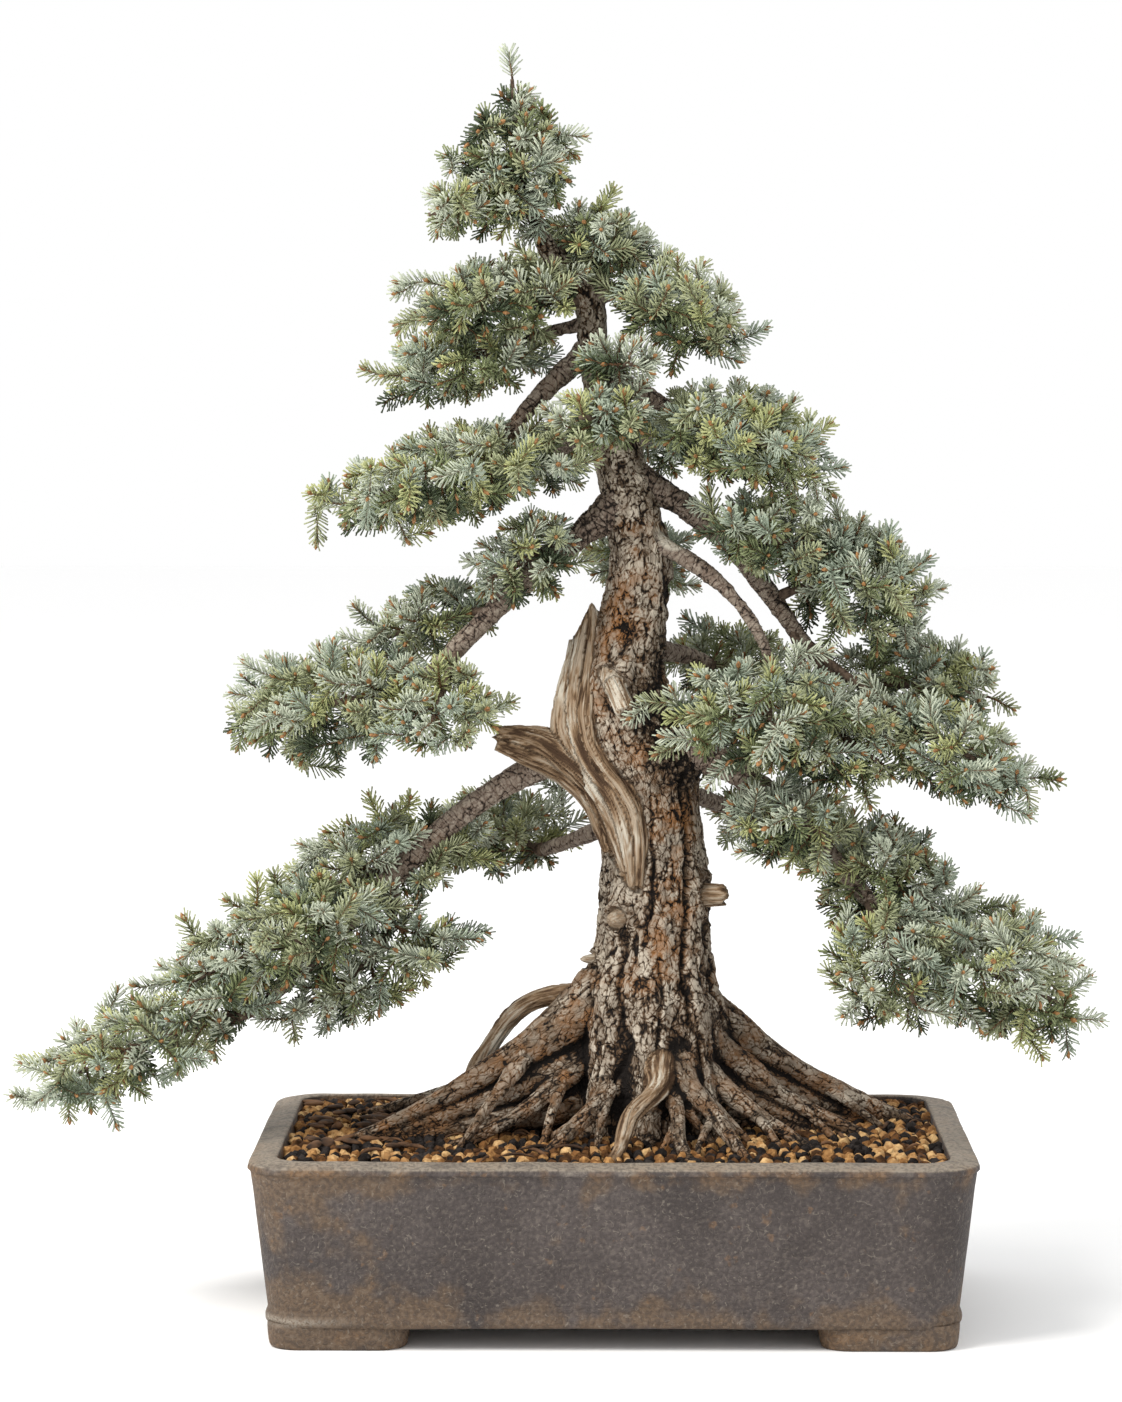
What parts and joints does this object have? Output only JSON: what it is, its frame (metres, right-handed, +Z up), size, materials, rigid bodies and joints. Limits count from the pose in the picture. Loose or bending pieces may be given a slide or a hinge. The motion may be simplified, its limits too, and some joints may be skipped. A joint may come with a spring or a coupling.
{
  "type": "engelmann spruce bonsai",
  "caption": "Old spruce bonsai with drooping layered boughs, deadwood and spreading surface roots, in a shallow rectangular stoneware pot.",
  "frame": {"origin": "centre of the whole plant's bounding box in X and Y, on the plane that the pot's feet stand on", "axes": "+Z up, +X to the right and -Y towards the viewer in the pictured front view"},
  "size_m": [0.6714, 0.3458, 0.8119],
  "materials": {
    "stoneware": "unglazed, matt, brown-grey with ochre patina",
    "soil_granules": "loose baked clay and pumice granules",
    "trunk_bark": "flaky grey-brown bark with bare pale deadwood",
    "bough_bark": "rough grey-brown bark",
    "foliage": "matt blue-green needles on orange-brown twigs"
  },
  "bodies": {
    "root": {"bough_back_high": "bough_bark", "bough_back_left": "bough_bark", "bough_back_low": "bough_bark", "bough_back_mid": "bough_bark", "bough_back_right": "bough_bark", "bough_left_back": "bough_bark", "bough_left_high": "bough_bark", "bough_left_low": "bough_bark", "bough_left_mid": "bough_bark", "bough_left_top": "bough_bark", "bough_right_high": "bough_bark", "bough_right_inner": "bough_bark", "bough_right_low": "bough_bark", "bough_right_mid": "bough_bark", "bough_right_top": "bough_bark", "bough_right_upper": "bough_bark", "mass_apex": "foliage", "mass_apex_left": "foliage", "mass_back_high": "foliage", "mass_back_left": "foliage", "mass_back_low": "foliage", "mass_back_mid": "foliage", "mass_back_right": "foliage", "mass_back_top": "foliage", "mass_front_top": "foliage", "mass_front_upper": "foliage", "mass_left_back": "foliage", "mass_left_high": "foliage", "mass_left_low_far": "foliage", "mass_left_low_mid": "foliage", "mass_left_low_near": "foliage", "mass_left_low_under": "foliage", "mass_left_mid_front": "foliage", "mass_left_mid_inner": "foliage", "mass_left_mid_near": "foliage", "mass_left_mid_outer": "foliage", "mass_left_top_high": "foliage", "mass_left_top_low": "foliage", "mass_right_crest": "foliage", "mass_right_high_far": "foliage", "mass_right_high_near": "foliage", "mass_right_inner": "foliage", "mass_right_low_far": "foliage", "mass_right_low_inner": "foliage", "mass_right_low_near": "foliage", "mass_right_low_under": "foliage", "mass_right_mid_back": "foliage", "mass_right_mid_far": "foliage", "mass_right_mid_near": "foliage", "mass_right_mid_under": "foliage", "mass_right_top": "foliage", "mass_right_upper": "foliage", "pot": "stoneware", "soil": "soil_granules", "trunk": "trunk_bark"}
  },
  "joints": []
}
